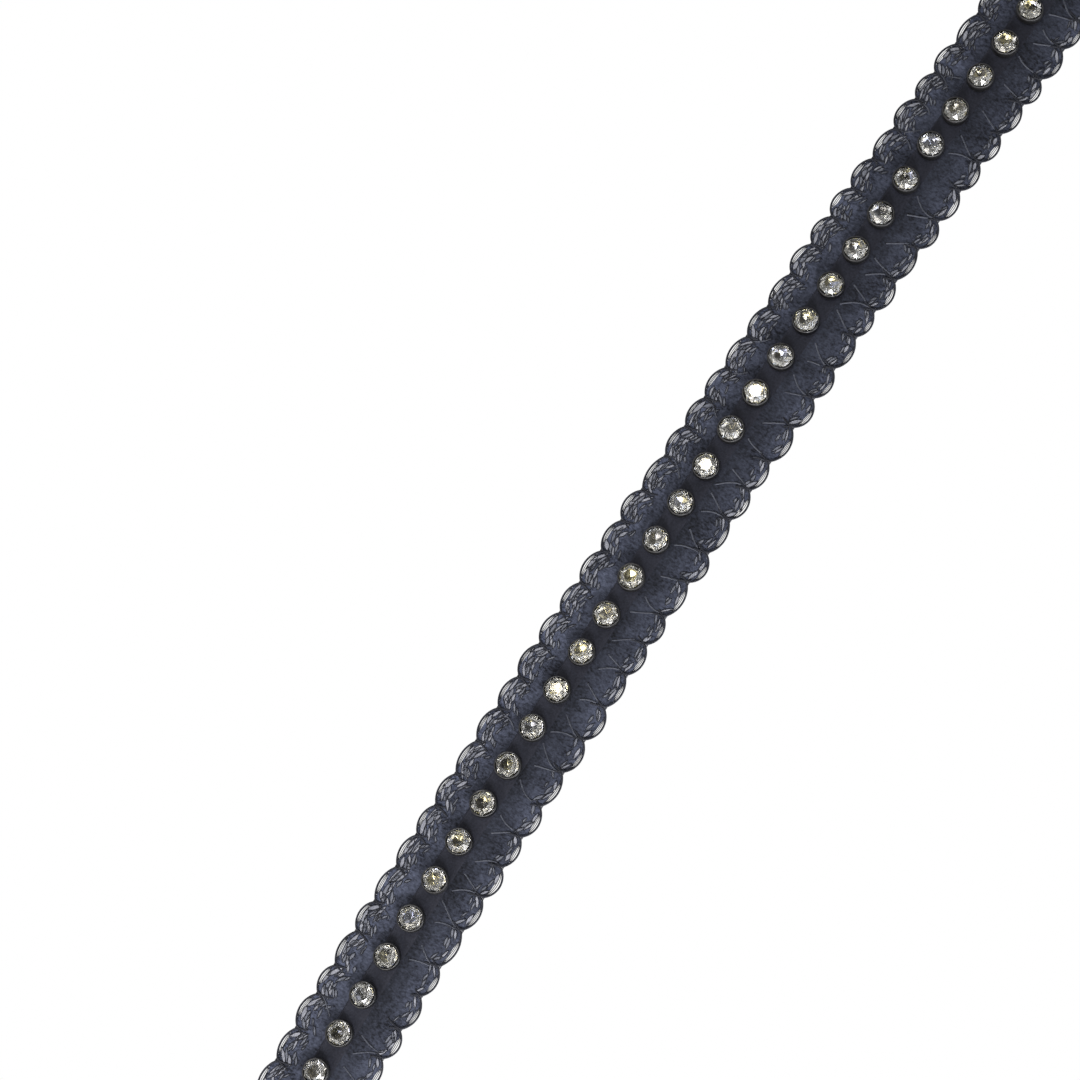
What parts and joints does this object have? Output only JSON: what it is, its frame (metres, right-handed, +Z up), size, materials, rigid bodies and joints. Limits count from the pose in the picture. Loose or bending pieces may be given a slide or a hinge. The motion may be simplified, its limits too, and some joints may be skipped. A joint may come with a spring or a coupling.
{
  "type": "snaffle bridle",
  "caption": "Full snaffle bridle as worn: padded headpiece, lace and crystal browband, cheekpieces, throatlash, cavesson noseband and loose-ring snaffle bit.",
  "frame": {"origin": "middle of the crown pad's underside, where it rests on the horse's poll", "axes": "+Z up, -Y to the front of the horse's head, +X to the horse's left"},
  "size_m": [0.2718, 0.2455, 0.5316],
  "materials": {
    "leather": "satin, fine grained black bridle leather",
    "padding": "soft padded black leather",
    "buckle_steel": "polished",
    "bit_steel": "polished stainless steel",
    "navy_leather": "satin",
    "lace": "matt mesh and thread",
    "ribbon": "satin ribbon",
    "cup_metal": "polished",
    "crystal": "faceted, foiled back"
  },
  "bodies": {
    "headpiece": {"headpiece_strap": "leather", "headpiece_pad": "padding", "cheek_strap_left": "leather", "cheek_strap_right": "leather", "cheek_buckle_left": "buckle_steel", "cheek_buckle_right": "buckle_steel", "cheek_keeper_left": "leather", "cheek_keeper_right": "leather", "bit_keeper_left": "leather", "bit_keeper_right": "leather", "hook_stud_left": "buckle_steel", "hook_stud_right": "buckle_steel", "hanger_strap": "leather", "hanger_lower_strap": "leather", "hanger_buckle": "buckle_steel", "hanger_keeper": "leather"},
    "browband": {"browband_core": "navy_leather", "browband_lining": "navy_leather", "browband_lace": "lace", "browband_ribbon": "ribbon", "browband_cups": "cup_metal", "browband_crystals": "crystal", "browband_loop_left": "navy_leather", "browband_loop_right": "navy_leather"},
    "noseband": {"noseband_strap": "leather", "noseband_pad": "padding", "noseband_buckle": "buckle_steel", "noseband_keeper": "leather"},
    "throatlash": {"throat_billet_left": "leather", "throat_billet_right": "leather", "throatlash_strap": "leather", "throat_buckle_left": "buckle_steel", "throat_buckle_right": "buckle_steel", "throat_keeper_left": "leather", "throat_keeper_right": "leather"},
    "cheek_tongue_left": {"cheek_tongue_left": "buckle_steel"},
    "cheek_tongue_right": {"cheek_tongue_right": "buckle_steel"},
    "cheek_runner_left": {"cheek_runner_left": "leather"},
    "cheek_runner_right": {"cheek_runner_right": "leather"},
    "hanger_tongue": {"hanger_tongue": "buckle_steel"},
    "hanger_runner": {"hanger_runner": "leather"},
    "throat_tongue_left": {"throat_tongue_left": "buckle_steel"},
    "throat_tongue_right": {"throat_tongue_right": "buckle_steel"},
    "noseband_tongue": {"noseband_tongue": "buckle_steel"},
    "noseband_runner": {"noseband_runner": "leather"},
    "bit_ring_left": {"bit_ring_left": "bit_steel"},
    "bit_ring_right": {"bit_ring_right": "bit_steel"},
    "bit_cannon_left": {"bit_cannon_left": "bit_steel"},
    "bit_cannon_right": {"bit_cannon_right": "bit_steel"},
    "bit_link": {"bit_link": "bit_steel"}
  },
  "joints": [
    {"name": "browband_tilt", "type": "hinge", "parent": "headpiece", "child": "browband", "pos_m": [0, -0.009, -0.11498], "axis": [1, 0, 0], "range_deg": [-9, 9]},
    {"name": "throatlash_swing", "type": "hinge", "parent": "headpiece", "child": "throatlash", "pos_m": [0, 0.009, -0.13478], "axis": [1, 0, 0], "range_deg": [-4, 24]},
    {"name": "noseband_tilt", "type": "hinge", "parent": "headpiece", "child": "noseband", "pos_m": [0, -0.02675, -0.36], "axis": [1, 0, 0], "range_deg": [-7, 7]},
    {"name": "cheek_tongue_left_lift", "type": "hinge", "parent": "headpiece", "child": "cheek_tongue_left", "pos_m": [0.11433, -0.008, -0.1619], "axis": [0, 1, 0], "range_deg": [0, 22]},
    {"name": "cheek_tongue_right_lift", "type": "hinge", "parent": "headpiece", "child": "cheek_tongue_right", "pos_m": [-0.11433, -0.008, -0.1619], "axis": [0, -1, 0], "range_deg": [0, 22]},
    {"name": "hanger_tongue_lift", "type": "hinge", "parent": "headpiece", "child": "hanger_tongue", "pos_m": [0.1096, -0.02675, -0.19556], "axis": [0, 1, 0], "range_deg": [0, 22]},
    {"name": "throat_tongue_left_lift", "type": "hinge", "parent": "throatlash", "child": "throat_tongue_left", "pos_m": [0.11194, 0.02166, -0.17895], "axis": [0, 0.9613, 0.2756], "range_deg": [0, 22]},
    {"name": "throat_tongue_right_lift", "type": "hinge", "parent": "throatlash", "child": "throat_tongue_right", "pos_m": [-0.11194, 0.02166, -0.17895], "axis": [0, -0.9613, -0.2756], "range_deg": [0, 22]},
    {"name": "noseband_tongue_lift", "type": "hinge", "parent": "noseband", "child": "noseband_tongue", "pos_m": [0.0812, 0.032, -0.36], "axis": [0, 0, -1], "range_deg": [0, 22]},
    {"name": "cheek_runner_left_slide", "type": "slide", "parent": "headpiece", "child": "cheek_runner_left", "axis": [0.1392, 0, 0.9903], "range_m": [-0.012, 0.012]},
    {"name": "cheek_runner_right_slide", "type": "slide", "parent": "headpiece", "child": "cheek_runner_right", "axis": [-0.1392, 0, 0.9903], "range_m": [-0.012, 0.012]},
    {"name": "hanger_runner_slide", "type": "slide", "parent": "headpiece", "child": "hanger_runner", "axis": [0.1392, 0, 0.9903], "range_m": [-0.012, 0.008]},
    {"name": "noseband_runner_slide", "type": "slide", "parent": "noseband", "child": "noseband_runner", "axis": [0, 1, 0], "range_m": [-0.005, 0.005]},
    {"name": "bit_ring_left_spin", "type": "hinge", "parent": "headpiece", "child": "bit_ring_left", "pos_m": [0.06871, -0.008, -0.47881], "axis": [1, 0, 0], "continuous": true},
    {"name": "bit_ring_right_spin", "type": "hinge", "parent": "headpiece", "child": "bit_ring_right", "pos_m": [-0.06871, -0.008, -0.47881], "axis": [1, 0, 0], "continuous": true},
    {"name": "bit_cannon_left_swing", "type": "hinge", "parent": "headpiece", "child": "bit_cannon_left", "pos_m": [0.06871, -0.008, -0.51181], "axis": [0, 1, 0], "range_deg": [0, 8]},
    {"name": "bit_cannon_right_swing", "type": "hinge", "parent": "headpiece", "child": "bit_cannon_right", "pos_m": [-0.06871, -0.008, -0.51181], "axis": [0, -1, 0], "range_deg": [0, 8]},
    {"name": "bit_link_swing", "type": "hinge", "parent": "bit_cannon_left", "child": "bit_link", "pos_m": [0.009, -0.008, -0.51599], "axis": [0, 1, 0], "range_deg": [-8, 0]}
  ],
  "couplings": [
    {"joint": "bit_cannon_right_swing", "follows": "bit_cannon_left_swing", "ratio": 1},
    {"joint": "bit_link_swing", "follows": "bit_cannon_left_swing", "ratio": -1}
  ]
}
